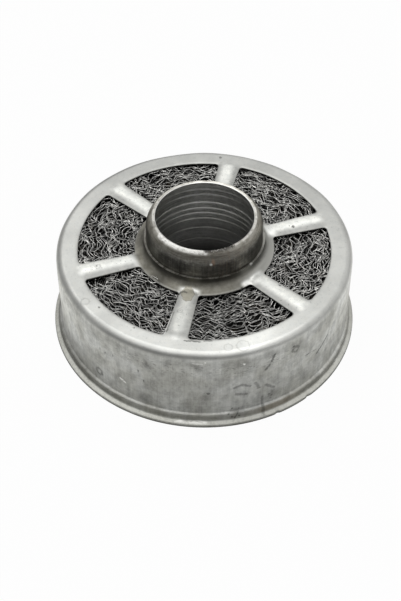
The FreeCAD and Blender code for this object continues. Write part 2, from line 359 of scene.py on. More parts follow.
class Shade:
    """A value in a material's node tree. Arithmetic on it adds Math nodes, and add any other."""

    def __init__(self, tree, socket=None):
        self.tree = tree
        self.socket = socket

    def add(self, kind, settings, sockets, output=0):
        """Adds a node: its settings first, then the values or links of its sockets."""
        node = self.tree.nodes.new("ShaderNode" + kind)
        for name, setting in settings.items():
            setattr(node, name, setting)
        self.feed(node, sockets)
        return None if output is None else Shade(self.tree, node.outputs[output])

    def feed(self, node, sockets):
        for name, value in sockets.items():
            if isinstance(value, Shade):
                self.tree.links.new(value.socket, node.inputs[name])
            else:
                node.inputs[name].default_value = value

    def output(self, name):
        """Another output of the same node."""
        return Shade(self.tree, self.socket.node.outputs[name])

    def axes(self):
        """The X, Y and Z of this vector."""
        x = self.add("SeparateXYZ", {}, {0: self})
        return x, x.output("Y"), x.output("Z")

    def math(self, operation, *values):
        return self.add("Math", {"operation": operation}, dict(enumerate(values)))

    def vector(self, operation, *others):
        """Vector Math on this vector; others are vectors, or the factor of SCALE."""
        sockets = {0: self, 3: others[0]} if operation == "SCALE" else dict(enumerate((self, *others)))
        number = operation in ("LENGTH", "DISTANCE", "DOT_PRODUCT")
        return self.add("VectorMath", {"operation": operation}, sockets, 1 if number else 0)

    def from_axis(self):
        """The distance of this place from the axis."""
        return self.vector("MULTIPLY", (1, 1, 0)).vector("LENGTH")

    def ramp(self, low, high, start=0.0, end=1.0):
        """Runs smoothly from start to end as this value goes from low to high."""
        sockets = {"Value": self, "From Min": low, "From Max": high, "To Min": start, "To Max": end}
        return self.add("MapRange", {"interpolation_type": "SMOOTHSTEP"}, sockets)

    def until(self, low, high):
        """1 up to low, and from there smoothly to 0 at high."""
        return self.ramp(low, high, 1, 0)

    def within(self, start, low, high, end):
        """1 from low to high, and smoothly 0 up to start and from end on."""
        return self.ramp(start, low) * self.until(high, end)

    def near(self, width):
        """1 where this distance is well under a width, and 0 from the width on."""
        return self.until(width * 0.3, width)

    def mix(self, first, second):
        """The first colour where this value is 0 and the second where it is 1."""
        first, second = [c if isinstance(c, Shade) else (*c, 1) for c in (first, second)]
        return self.add("Mix", {"data_type": "RGBA"}, {0: self, 6: first, 7: second}, 2)

    def noise(self, scale, detail=3.0, roughness=0.55, stretch=None):
        """Noise read at this vector; a stretch under 1 along an axis draws it out that way."""
        vector = self.vector("MULTIPLY", stretch) if stretch else self
        sockets = {"Vector": vector, "Scale": scale, "Detail": detail, "Roughness": roughness}
        return self.add("TexNoise", {}, sockets)

    def shift(self, size, scale, detail):
        """A vector of noise, up to about half a size long, that makes an edge ragged."""
        noise = self.noise(scale, detail).output("Color")
        return noise.vector("SUBTRACT", (0.5, 0.5, 0.5)).vector("SCALE", size)

    def most(self, *others):
        """The greatest of this value and the others."""
        result = self
        for other in others:
            result = result.math("MAXIMUM", result, other)
        return result

    def spot(self, centre, reach, soft=0.5):
        """1 near a point in this space, and 0 from a reach on."""
        return self.vector("DISTANCE", centre).until(reach * (1 - soft), reach)

    def ring(self, centre, reach, width):
        """1 on a circle about a point, and 0 away from it."""
        return abs(self.vector("DISTANCE", centre) - reach).near(width)

    def stroke(self, points, width):
        """1 along the line through points, and 0 from a width on."""
        result = None
        for start, end in zip(points, points[1:]):
            way = Vector(end) - Vector(start)
            from_start = self.vector("SUBTRACT", start)
            share = from_start.vector("DOT_PRODUCT", tuple(way)) * (1 / way.length_squared)
            share = share.math("MINIMUM", share.most(0), 1)
            along = self.add("VectorMath", {"operation": "SCALE"}, {0: tuple(way), 3: share})
            mask = from_start.vector("DISTANCE", along).near(width)
            result = result.most(mask) if result else mask
        return result

    def __add__(self, other):
        return self.math("ADD", self, other)

    __radd__ = __add__

    def __sub__(self, other):
        return self.math("SUBTRACT", self, other)

    def __rsub__(self, other):
        return self.math("SUBTRACT", other, self)

    def __mul__(self, other):
        return self.math("MULTIPLY", self, other)

    __rmul__ = __mul__

    def __abs__(self):
        return self.math("ABSOLUTE", self)


def bare_metal(name):
    """A new metal: the material, a Shade that holds each point's place in millimetres, and the
    shader node."""
    material = bpy.data.materials.new(name)
    material.use_nodes = True
    shader = material.node_tree.nodes["Principled BSDF"]
    shader.inputs["Metallic"].default_value = 1.0
    place = Shade(material.node_tree).add("TexCoord", {}, {}, "Object").vector("SCALE", 1000)
    return material, place, shader


def finished(shade, shader, colour, roughness, relief, depth):
    """Feeds the shader; relief is a value from 0 to 1, and depth its size in millimetres."""
    bump = shade.add("Bump", {}, {"Strength": 1.0, "Distance": depth / 1000, "Height": relief})
    shade.feed(shader, {"Base Color": colour, "Roughness": roughness, "Normal": bump})


def around(radius, degrees, height):
    """The point on a circle about the axis, at an angle in degrees."""
    turn = math.radians(degrees)
    return radius * math.cos(turn), radius * math.sin(turn), height


def on_wall(degrees, height, radius=wall_radius):
    return around(radius, degrees, height)


def on_top(radius, degrees):
    return around(radius, degrees, plate_top)


def flattened(place):
    """A place moved most of the way to the top's own height, so that marks there are round."""
    return place.vector("MULTIPLY", (1, 1, 0.15)).vector("ADD", (0, 0, 0.85 * plate_top))


def strongest(values):
    return values[0].most(*values[1:])


def product(level, *levels):
    for other in levels:
        level = level * other
    return level


def painted(colour, *coats):
    """The colour under coats of others; a coat is its mask and its colour."""
    for mask, coat in coats:
        colour = mask.mix(colour, coat)
    return colour


def lines_of(place, on, rows):
    """A stroke for each row: its width, and its points as on takes them."""
    return [place.stroke([on(*point) for point in points], width) for width, *points in rows]


def spots_of(place, on, rows, soft=0.5):
    """A spot for each row: its reach, and its point as on takes it."""
    return [place.spot(on(*point), reach, soft) for reach, *point in rows]


def wall_marks(place):
    """Dark marks that handling and years of grime left on the wall. A point is its angle in degrees
    and its height, and its radius where it is off the wall."""
    faint_width = 0.95
    scribbles = (
        ((281.4, 17.9), (284.3, 19.0), (287.4, 17.4)), ((282.2, 14.3), (286.0, 13.3)),
        ((289.5, 18.4), (291.0, 15.2)), ((293.8, 15.6), (297.0, 12.7)), ((296.6, 10.4), (296.0, 7.0)),
        ((292.5, 9.2), (292.6, 5.4), (292.7, 4.2, band_radius), (292.5, 2.0, band_radius),
         (292.4, 1.1, 59.2)),
    )
    scratches = (
        (0.8, (296.6, 31.0), (295.6, 27.8)), (0.8, (294.9, 26.4), (293.3, 24.2)),
        (0.7, (324.3, 22.2), (321.3, 19.6), (317.9, 17.4)), (0.35, (317.3, 20.3), (310.6, 21.3)),
        (0.5, (283.4, 6.0), (282.5, 4.2, band_radius), (281.6, 2.4, band_radius)),
        (0.5, (280.9, 6.6), (279.2, 4.4, band_radius)),
        (0.6, (36.5, 27.4), (39.8, 24.6), (41.2, 20.9)), (0.4, (58.0, 12.2), (66.5, 13.6)),
        (0.7, (103.2, 30.2), (104.0, 26.9)), (0.5, (139.0, 18.0), (144.5, 14.4), (146.0, 11.5)),
    )
    tick_length, tick_width = 1.2, 0.4
    ticks = ((227.9, 24.2), (230.6, 23.7), (234.5, 25.0), (245.5, 23.4), (247.6, 18.5))
    specks = (
        (0.7, 283.2, 3.2, band_radius), (0.7, 280.7, 3.0, band_radius), (0.9, 295.4, 9.4),
        (0.8, 296.4, 8.4), (0.8, 304.9, 30.7), (1.0, 228.0, 9.4), (0.9, 271.9, 16.0),
        (0.9, 52.0, 21.5), (1.0, 118.3, 9.0), (0.8, 160.5, 26.0),
    )
    smears = (
        (5.0, 248.0, 8.0), (2.6, 268.2, 30.0), (3.6, 271.0, 13.5), (5.0, 311.3, 9.5),
        (3.5, 249.6, 27.8), (3.5, 283.0, 5.0), (3.0, 226.5, 29.0), (4.5, 297.0, 9.5),
        (5.0, 28.0, 12.0), (4.0, 84.0, 26.0), (5.0, 129.0, 24.0), (4.0, 98.0, 8.0),
    )
    faint = lines_of(place, on_wall, [(faint_width, *points) for points in scribbles])
    faint += [place.ring(on_wall(305.9, 28.6), 1.3, 0.8), place.ring(on_wall(226.6, 9.9), 1.5, 0.8),
              place.spot(on_wall(295.8, 8.5), 1.5)]
    dark = lines_of(place, on_wall, scratches) + spots_of(place, on_wall, specks)
    for degrees, height in ticks:
        tick = on_wall(degrees, height), on_wall(degrees, height - tick_length)
        dark.append(place.stroke(tick, tick_width))
    soft = spots_of(place, on_wall, smears, 0.9)
    return (0.42 * strongest(faint)).most(0.6 * strongest(dark), 0.3 * strongest(soft))


def top_marks(place):
    """Stains, specks and rings that drops left on the top, and a painted shadow line along the front
    spoke's edge; place is flattened. A point is its radius and its angle in degrees."""
    drop_rings = ((1.5, 0.5, 53.1, 215), (2.3, 0.4, 53.2, 285.2), (1.5, 0.4, 52.9, 279.5),
                  (0.9, 0.4, 36.2, 256.1), (1.0, 0.5, 41.9, 197.6))
    scratches = (
        (0.45, (49.7, 262.0), (49.6, 265.0), (49.9, 268.5)), (0.35, (49.4, 270.0), (49.3, 273.5)),
        (0.7, (27.9, 250.7), (27.0, 251.6), (26.4, 253.8), (26.9, 256.0)),
    )
    specks = (
        (0.6, 50.75, 221.2), (0.5, 49.85, 239.9), (0.75, 35.9, 16.3), (0.35, 34.6, 17.6),
        (0.6, 26.7, 301.7), (0.6, 35.4, 322.6), (0.35, 36.2, 256.1), (0.9, 52.5, 83),
        (0.42, 42.3, 197.2), (0.32, 40.6, 199.2),
    )
    rings = [place.ring(on_top(*point), reach, width) for reach, width, *point in drop_rings]
    dark = lines_of(place, on_top, scratches) + spots_of(place, on_top, specks)
    # painted shadow: a dark line along the front spoke's edge
    front_edge_shadow = place.stroke([on_top(37, 252.9), on_top(47, 253.55)], 0.4)
    return (0.18 * strongest(rings)).most(0.7 * strongest(dark), 0.4 * front_edge_shadow)


def wall_level(place, cloud, mottle, grain, brushed):
    """How light the wall is from place to place. It is brushed upright, scuffed level and blotched,
    darker low on the left and a little darker towards the bottom. In painted light and shade it is
    lighter at its sides, and darker at its front and under the corner."""
    to_right, to_back, height = place.axes()
    fine_brushed = place.noise(3.2, 2.0, 0.6, (1, 1, 0.03))
    scuffed = place.noise(1.6, 4.0, 0.7, (0.16, 0.16, 1))
    blotched = place.noise(0.27, 7.0, 0.72, (1, 1, 0.7))
    # painted shade: a dark line under the rounded corner
    painted_corner_shade = height.within(28.5, 31.5, 32.2, 34.2)
    # painted light: the sides of the wall lighter than its middle
    painted_side_light = to_back.ramp(-38, -18) * to_back.ramp(4, 24, 1, 0.1) * height.ramp(8, 20)
    low_left = height.until(6, 20) * to_right.until(-52, -25)
    smudged = place.noise(1.3, 4.0, 0.7, (0.5, 0.5, 1.2)).ramp(0.52, 0.66)
    smudged = smudged * height.within(24, 27, 30.5, 32.5) * to_back.until(-50, -42)
    specked = grain.ramp(0.62, 0.72) * mottle.ramp(0.5, 0.65)
    return product(
        cloud.ramp(0.3, 0.7, 0.82, 1.12), brushed.ramp(0.3, 0.72, 0.91, 1.07),
        fine_brushed.ramp(0.3, 0.7, 0.965, 1.03), scuffed.ramp(0.35, 0.6, 0.94, 1.02),
        blotched.ramp(0.35, 0.6, 0.78, 1.06), mottle.ramp(0.35, 0.65, 0.93, 1.04),
        # painted shade: the front of the wall darker
        height.ramp(4.0, 30.0, 0.94, 1.04), to_back.ramp(-56, -42, 0.86, 1.06),
        1 - 0.12 * painted_corner_shade, 1 + 0.34 * painted_side_light, 1 - 0.3 * low_left,
        1 - 0.35 * smudged, 1 - 0.28 * specked)


def top_level(place, cloud, mottle, grain, in_root_highlight, on_spoke):
    """How light the top is from place to place: clouded, mottled, grained and freckled. Painted
    highlights lie along the crest of each bead, on the front spoke and along its edge, at the hub
    ends of three spokes and in two broad pools at the front. Painted shade darkens the rounded
    corner on the left, and the back of the top."""
    to_right, to_back, _ = place.axes()
    radius, flat = place.from_axis(), flattened(place)
    freckled = place.noise(1.5, 1.0).ramp(0.66, 0.74)
    # painted highlights along the crest of each bead, set a little towards the back
    crest_highlight_place = flat.vector("SUBTRACT", (0, 0.9, 0))
    painted_crest_highlights = [(3.6, (27, turn), (49.5, turn)) for turn in (18, 78, 138, 198, 318)]
    painted_crest_highlights = strongest(lines_of(crest_highlight_place, on_top, painted_crest_highlights))
    # painted highlights along the front spoke's crest and along its edge
    front_crest_highlight = flat.stroke([on_top(30, 258), on_top(44.5, 258)], 3.4)
    front_edge_highlight = flat.stroke([on_top(38, 252.0), on_top(48, 252.8)], 0.5)
    # painted light: two broad pools on the front of the top
    painted_light_front_right, painted_light_front_left = flat.spot(on_top(51, 291), 22, 0.95), flat.spot(on_top(51, 252), 24, 0.9)
    # painted shade: the rounded corner darker on the left, and the back of the top darker
    corner_shade_zone = radius.ramp(54.0, 55.4)
    return product(
        cloud.ramp(0.3, 0.7, 0.92, 1.06), mottle.ramp(0.3, 0.75, 0.95, 1.04),
        grain.ramp(0.3, 0.7, 0.97, 1.02), 1 - freckled * radius.ramp(46, 50, 0.35, 0.18),
        1 + 0.38 * in_root_highlight * radius.until(27, 29.5), 1 + on_spoke * (0.82 * painted_crest_highlights - 0.12),
        1 - on_spoke * mottle.ramp(0.4, 0.65, 0.10, 0), 1 + 0.45 * front_crest_highlight,
        1 + 0.5 * front_edge_highlight, 1 + 0.38 * painted_light_front_right, 1 + 0.10 * (1 - on_spoke) * painted_light_front_left,
        1 - corner_shade_zone * to_right.ramp(-30, 25, 0.34, 0.0), to_back.ramp(10, 45, 1, 0.9))


top_steel = (0.485, 0.49, 0.47), (0.475, 0.475, 0.45)
wall_steel = (0.60, 0.60, 0.555), (0.575, 0.58, 0.555)
hub_shade_and_grime = (0.19, 0.182, 0.152), (0.265, 0.256, 0.222)
hub_right_painted_light = (0.345, 0.343, 0.318)
collar_shade_and_grime = (0.085, 0.082, 0.07)
band_darker, band_stain = (0.17, 0.165, 0.13), (0.30, 0.24, 0.16)
flare_steel, flare_glint = (0.56, 0.56, 0.51), (0.85, 0.85, 0.81)
foot_shade, cut_shade = (0.12, 0.12, 0.105), (0.05, 0.05, 0.045)
worn_steel, nick_steel = (0.55, 0.54, 0.5), (0.9, 0.9, 0.87)
drip_oil, drip_outline = ((0.36, 0.34, 0.265), (0.51, 0.49, 0.41)), (0.19, 0.17, 0.13)
mark_and_shadow_black, mark_pale = (0.055, 0.055, 0.05), (0.85, 0.85, 0.82)


def make_shell_steel():
    material, place, shader = bare_metal("drawn_steel")
    to_right, to_back, height = place.axes()
    radius = place.from_axis()
    cloud = place.noise(0.10, 4.0)
    mottle = place.noise(0.5, 5.0, 0.65)
    grain = place.noise(2.6, 3.0, 0.6)
    brushed = place.noise(0.95, 5.0, 0.7, (1, 1, 0.06))
    bent = place.vector("ADD", place.shift(0.9, 1.3, 2.0))
    flat, flat_bent = flattened(place), flattened(bent)

    on_side = height.until(33.2, 35.6) * radius.ramp(50, 54)
    on_spoke = radius.within(26.5, 30, 47.0, 50.5)
    # painted light on the hub ends of three spokes and a patch by them, kept clear of the hub's shade
    root_highlights = lines_of(flat_bent, on_top, [(5.2, (25, turn), (31, turn)) for turn in (18, 258, 318)])
    root_highlights.append(flat_bent.spot(on_top(26.2, 308), 3.4, 0.7))
    in_root_highlight = strongest(root_highlights) * radius.ramp(23.8, 25.6)
    in_hub = radius.until(25.8, 28.4) * (1 - in_root_highlight)

    top_colour = mottle.ramp(0.4, 0.7).mix(*top_steel)
    top_colour = top_colour.vector("SCALE", top_level(place, cloud, mottle, grain, in_root_highlight, on_spoke))
    side_colour = cloud.ramp(0.35, 0.65).mix(*wall_steel)
    side_colour = side_colour.vector("SCALE", wall_level(place, cloud, mottle, grain, brushed))
    colour = on_side.mix(top_colour, side_colour)

    # painted shade, with warm grime, on the hub's sweep up to the collar
    hub_shade_colour = mottle.ramp(0.35, 0.65).mix(*hub_shade_and_grime)
    # painted light: the hub lighter on its right
    hub_shade_colour = to_right.ramp(8, 22).mix(hub_shade_colour, hub_right_painted_light)
    # painted shade: the hub darker at its front and in three patches on the left
    hub_front_shade_level = 1 - radius.ramp(23.8, 25.2) * to_back.ramp(-24, -6, 0.45, 0.12)
    shaded = (0.6 * flat.spot(on_top(25.5, 228), 8, 0.9)).most(
        0.35 * flat.spot(on_top(25.5, 172), 9, 0.9), 0.36 * flat.spot(on_top(24.8, 208), 10, 0.8))
    hub_shade_colour = hub_shade_colour.vector("SCALE", hub_front_shade_level * (1 - shaded))
    # painted shade, with grime, on the collar's wall; darkest at the far left, lightest on the right
    collar_wall = height.ramp(plate_top + 1.6, plate_top + 3.2)
    collar_shade_share = to_right.ramp(8, 22, 0.75, 0.35).most(to_right.ramp(-23.4, -18, 0.95, 0.6))

    # the band is painted darker and browner, and rust-stained at the front right
    in_band = height.within(1.8, 2.4, 4.3, 4.9)
    stained = place.spot(on_wall(298, 3.4, band_radius), 15, 0.9)
    flare = height.within(0.7, 1.0, 1.6, 2.3)
    glinting = place.stroke([around(59.0, turn, 1.8) for turn in (260, 265, 271)], 1.0)
    glinting = glinting * place.noise(0.8, 2.0, stretch=(0.5, 1, 3)).ramp(0.4, 0.62)
    colour = painted(
        colour, (in_hub, hub_shade_colour), (collar_wall * collar_shade_share, collar_shade_and_grime), (0.4 * in_band, band_darker),
        (0.35 * in_band * stained, band_stain),
        (flare * brushed.ramp(0.3, 0.7, 0.35, 0.95), flare_steel), (0.8 * glinting, flare_glint))
    # painted shade: the band darker on the left
    rim_left_shade_level = 1 - height.within(1.9, 2.5, 4.6, 5.4) * to_right.ramp(-56, -20, 0.36, 0.06)
    colour = colour.vector("SCALE", rim_left_shade_level)

    rim_foot = height.until(0.5, 0.9) * radius.ramp(58.5, 59.0)
    cut_side = height.within(33.5, 34.5, plate_top - 0.55, plate_top - 0.25)
    cut_side = cut_side * radius.until(48.9, 49.3) * (1 - in_hub)
    worn_edge = product(
        height.ramp(collar_top - 0.14, collar_top - 0.02), mottle.ramp(0.35, 0.6, 0.1, 0.7),
        to_right.ramp(8, 22, 1, 0.45), to_right.ramp(-23.2, -17, 0.25, 1))
    nick = place.spot(around(23.0, 319.6, collar_top), 0.9)
    drip = flat.vector("ADD", place.shift(2.6, 0.55, 3.0)).vector("SUBTRACT", on_top(27.4, 257.2))
    drip = drip.vector("MULTIPLY", (1.0, 0.68, 0.5)).vector("LENGTH").until(2.0, 2.5)
    drip_colour = mottle.ramp(0.3, 0.7).mix(*drip_oil)
    drip_edge = 4 * drip * (1 - drip)
    # marks on the wall and the top, with one painted shadow line among them
    marks_and_edge_shadow = wall_marks(bent).most(top_marks(flat_bent)) * grain.ramp(0.3, 0.55, 0.6, 1.0)
    pale = lines_of(bent, on_wall, (
        (0.7, (237.4, 13.9), (238.3, 13.5)), (0.6, (239.1, 13.0), (239.6, 12.7))))
    pale += spots_of(bent, on_wall, ((0.6, 284.7, 30.5), (0.45, 270.6, 33.2)))
    pale.append(0.5 * bent.stroke([on_wall(266.0, 32.6), on_wall(269.5, 32.2)], 0.5))
    colour = painted(
        colour, (0.7 * rim_foot, foot_shade), (0.85 * cut_side, cut_shade), (worn_edge, worn_steel),
        (nick, nick_steel), (0.92 * drip, drip_colour), (0.6 * drip_edge, drip_outline),
        (marks_and_edge_shadow, mark_and_shadow_black), (0.9 * strongest(pale), mark_pale))

    roughness = 0.36 + 0.14 * on_side + 0.10 * mottle + 0.25 * marks_and_edge_shadow - 0.18 * flare + 0.22 * on_spoke
    relief = 0.5 * grain + 0.5 * on_side * brushed
    place.feed(shader, {"Metallic": 1 - 0.75 * drip})
    finished(place, shader, colour, roughness, relief, 0.03)
    return material


shell_steel = make_shell_steel()
drawn_shell.data.materials.append(shell_steel)


# The centre tube is a length of plain steel tube. Its mouth is swaged in and worn bright, rings are
# rolled into its bore, and its foot is flanged out under the lower grille, which holds the stack.

neck_low, neck_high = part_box("centre_tube")
tube_top = neck_high.z * 1000
tube_foot = neck_low.z * 1000
tube_wall = 0.9
flange_radius = neck_high.x * 1000
swage_radius = 7.3
swage_angle = math.radians(50)
tube_count = 256
lip_wear = 0.2
burr_start, burr_end, burr_radius = 271, 302, 19.3
bore_rings = ((46.0, 0.12), (43.4, 0.12), (39.2, 0.26), (36.2, 0.26), (33.7, 0.26), (30.8, 0.26),
              (25.9, 0.28), (19.9, 0.26))


def burred(points):
    """Points of the tube moved by the ragged burr that a tool left along part of its mouth."""
    x, y, z = points[..., 0], points[..., 1], points[..., 2]
    turn = np.degrees(np.arctan2(y, x)) % 360
    ragged = np.sin(turn * 2.9) + np.sin(turn * 4.7 + 1) + np.sin(turn * 1.7 + 2)
    radius = np.hypot(x, y)
    at_burr = np.clip((turn - burr_start) / 3, 0, 1) * np.clip((burr_end - turn) / 4, 0, 1)
    at_burr = at_burr * np.clip((z - tube_top + 0.9) / 0.6, 0, 1)
    at_burr = at_burr * np.clip((burr_radius - radius) / 0.6, 0, 1)
    inward = 1 + (0.15 + 0.2 * ragged) * at_burr / radius
    return np.stack((x * inward, y * inward, z + at_burr * (0.05 * ragged - 0.1)), axis=-1)


def make_centre_tube():
    skin = Skin()
    reach = swage_radius * math.tan(swage_angle / 2)
    mouth = (tube_radius - reach * math.sin(swage_angle), tube_top - lip_wear)
    shoulder = (tube_radius, tube_top - lip_wear - reach * math.cos(swage_angle))
    floor = tube_foot + tube_wall
    corners = [mouth, shoulder, (tube_radius, floor), (flange_radius, floor)]
    outer, _ = bent_line(corners, (swage_radius, 0.3), 2.5, 10)
    line, rights = bent_line(corners, (swage_radius, 0.3), 2.5, 16)
    inner = line + tube_wall * rights
    to_level = 0.45 * tube_wall * math.tan(swage_angle)
    upward = np.array((-math.sin(swage_angle), math.cos(swage_angle)))
    inner = np.concatenate(([inner[0] + to_level * upward], inner))
    heights = np.concatenate([height + np.arange(-0.9, 0.95, 0.15) for height, _ in bore_rings])
    heights = np.sort(np.concatenate((heights, np.arange(6, 45, 2.0))))[::-1]
    bore = np.full(len(heights), tube_radius - tube_wall)
    for height, depth in bore_rings:
        bore -= depth * np.exp(-((heights - height) / 0.34) ** 2)
    above, below = inner[inner[:, 1] > heights[0] + 0.05], inner[inner[:, 1] < heights[-1] - 0.05]
    inner = np.concatenate((above, np.stack((bore, heights), axis=1), below))
    outer_rows = skin.add(turned_rows(outer, tube_count))
    inner_rows = skin.add(turned_rows(inner, tube_count))
    across = np.array((0.2, 0.5, 0.8))[:, None]
    lip = outer[0] + across * (inner[0] - outer[0]) + 0.4 * across * (1 - across) * np.array((0, 1))
    lip_rows = skin.add(turned_rows(lip, tube_count))
    skin.bridge_rows([*inner_rows[::-1], *lip_rows[::-1], *outer_rows, inner_rows[-1]])
    skin.points = [burred(points) for points in skin.points]
    return skin.piece("swaged_tube", 40)


swaged_tube = make_centre_tube()
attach(swaged_tube, "root")
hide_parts("centre_tube")


oily_steel = (0.125, 0.121, 0.108), (0.20, 0.196, 0.18)
bore_steel = (0.36, 0.36, 0.345), (0.42, 0.42, 0.405)
dull_steel = (0.085, 0.08, 0.066), (0.19, 0.18, 0.155)
polished_steel, lip_wear_and_sheen_steel = (0.45, 0.44, 0.40), (0.62, 0.61, 0.57)
lip_highlight_colour, glint_steel = (0.92, 0.915, 0.88), (0.75, 0.75, 0.72)
neck_foot_shade_colour, tube_rust, rust_run = (0.06, 0.058, 0.05), (0.20, 0.145, 0.105), (0.30, 0.19, 0.13)
burr_black = (0.035, 0.03, 0.026)


def make_tube_steel():
    material, place, shader = bare_metal("oily_tube_steel")
    to_right, to_back, height = place.axes()
    radius = place.from_axis()
    cloud = place.noise(0.16, 4.0)
    mottle = place.noise(0.7, 5.0, 0.65)
    streaked = place.noise(1.1, 4.0, 0.7, (1, 1, 0.07))
    fine_streaks = place.noise(3.4, 3.0, 0.6, (1, 1, 0.04))
    turned_marks = place.noise(2.4, 4.0, 0.7, (0.05, 0.05, 1))
    wiped = place.noise(2.6, 4.0, 0.75, (0.1, 0.1, 1))

    swage_start = tube_top - lip_wear - swage_radius * math.sin(swage_angle)
    over_start = (height - swage_start).most(0)
    off_centre = radius - (tube_radius - swage_radius)
    outside = swage_radius - 0.5 * tube_wall
    in_bore = off_centre * off_centre + over_start * over_start
    in_bore = in_bore.until((outside - 0.2) ** 2, (outside + 0.1) ** 2)

    level = product(
        cloud.ramp(0.3, 0.7, 0.8, 1.15), streaked.ramp(0.3, 0.7, 0.74, 1.2),
        fine_streaks.ramp(0.3, 0.7, 0.88, 1.1), wiped.ramp(0.3, 0.7, 0.72, 1.25),
        # painted shade: the tube darker on its left
        to_right.ramp(-22, -8, 0.72, 1))
    # painted highlights on the crest of each bore ring, only in the middle of the bore's back wall
    painted_crest_highlights = strongest([height.within(z - 0.55, z, z, z + 0.55) for z, _ in bore_rings])
    ring_highlight_middle = abs(to_right).until(4, 17) * to_back.ramp(0, 8)
    # painted light and shade: the bore lighter near its mouth and dark towards its bottom
    bore_tone_and_shade = product(
        cloud.ramp(0.3, 0.7, 0.9, 1.1), turned_marks.ramp(0.3, 0.7, 0.8, 1.2),
        height.ramp(13, 24, 0.12, 0.58), height.ramp(24, 40, 1, 2.9),
        1 + 1.3 * painted_crest_highlights * ring_highlight_middle)
    oily = mottle.ramp(0.35, 0.7).mix(*oily_steel).vector("SCALE", level)
    bore = mottle.ramp(0.35, 0.7).mix(*bore_steel).vector("SCALE", bore_tone_and_shade)

    dull = height.ramp(tube_top - 4.6, tube_top - 1.6) * (1 - in_bore)
    # painted light and shade on the swage: lighter to the right and to the back
    swage_light_and_shade = to_back.ramp(-20, -6, 1.4, 1.6) * to_right.ramp(-18, 16, 0.78, 1.25)
    dull_colour = wiped.ramp(0.3, 0.7).mix(*dull_steel).vector("SCALE", swage_light_and_shade)
    polished = height.ramp(tube_top - 2.2, tube_top - 0.5) * (1 - in_bore)
    polished = polished * place.noise(0.3, 4.0, 0.7).ramp(0.4, 0.58)
    # the lip worn bright, with painted sheen that fades towards the back
    lip_wear_and_sheen = height.ramp(tube_top - 0.6, tube_top - 0.3) * to_back.ramp(2, 12, 1, 0.55)
    lip_wear_and_sheen = lip_wear_and_sheen * place.noise(0.45, 4.0, 0.7).ramp(0.38, 0.56, 0.2, 1.0)
    # painted highlight: bright streaks along the front of the lip
    front_lip = [around(19.9, turn, tube_top - 0.45) for turn in (214, 226, 238, 250, 261, 271)]
    painted_lip_highlight = place.noise(0.9, 4.0, 0.7, (1, 1, 3)).ramp(0.35, 0.55, 0.3, 1.0)
    painted_lip_highlight = painted_lip_highlight * place.stroke(front_lip, 1.5)

    # painted shade: the tube darker just above the collar
    neck_foot_shade = height.until(collar_top, collar_top + 1.6) * (1 - in_bore)
    rust = place.spot(around(tube_radius, 292, 47), 13, 0.9) * streaked.ramp(0.45, 0.65)
    burr = [around(tube_radius - 3.1, turn, tube_top - 0.2) for turn in (272, 279, 286, 293, 301)]
    # dark colour along the burr
    darkened_burr = place.stroke(burr, 1.7) * place.noise(1.9, 3.0).ramp(0.36, 0.46)
    run = place.stroke([around(22.0, 278.5, z) for z in (50.6, 47.2)], 0.9)
    glint = place.spot(around(tube_radius, 276.4, 47.3), 0.7)
    colour = painted(
        in_bore.mix(oily, bore), (0.8 * dull, dull_colour), (0.6 * polished, polished_steel),
        (lip_wear_and_sheen, lip_wear_and_sheen_steel), (0.85 * painted_lip_highlight, lip_highlight_colour), (0.6 * neck_foot_shade, neck_foot_shade_colour),
        (0.35 * rust, tube_rust), (0.9 * darkened_burr, burr_black), (0.5 * run, rust_run),
        (glint, glint_steel))

    shader.inputs["Specular Tint"].default_value = (0.6, 0.6, 0.58, 1)
    roughness = 0.34 + 0.16 * mottle - 0.08 * lip_wear_and_sheen + 0.16 * painted_lip_highlight
    relief = 0.6 * streaked + 0.4 * mottle
    finished(place, shader, colour, roughness, relief, 0.03)
    return material


swaged_tube.data.materials.append(make_tube_steel())


# The packing is a knitted stocking of fine steel wire, pressed flat, crimped like a herringbone and
# wound into a roll round the tube. The strands along its upper and lower edges, seen through the
# windows, are laid here one by one, and the middle of the roll is one core that no light passes.

pack_low, pack_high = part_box("wire_packing")
pack_top = pack_high.z * 1000
pack_bottom = pack_low.z * 1000
wire_radius = 0.135
roll_inner, roll_outer = 25.4, 50.6
strand_step = 0.45
crimp_length, crimp_swing = 5.0, 1.15
layer_step = 0.66


def wander(random, count, every, size):
    """A value that wanders smoothly: random knots, one for every so many samples."""
    knots = random.normal(0, size, count // every + 4)
    place = np.arange(count) / every
    low = place.astype(int)
    share = place - low
    share = share * share * (3 - 2 * share)
    return knots[low] * (1 - share) + knots[low + 1] * share


def swirled(random, x, y, size, lengths=(7, 9, 12, 16, 24)):
    """A value that changes smoothly from place to place over the roll."""
    value = 0
    for length in lengths:
        heading, phase = random.uniform(0, 2 * math.pi, 2)
        along = x * math.cos(heading) + y * math.sin(heading)
        value = value + np.sin(2 * math.pi * along / length + phase)
    return size * value


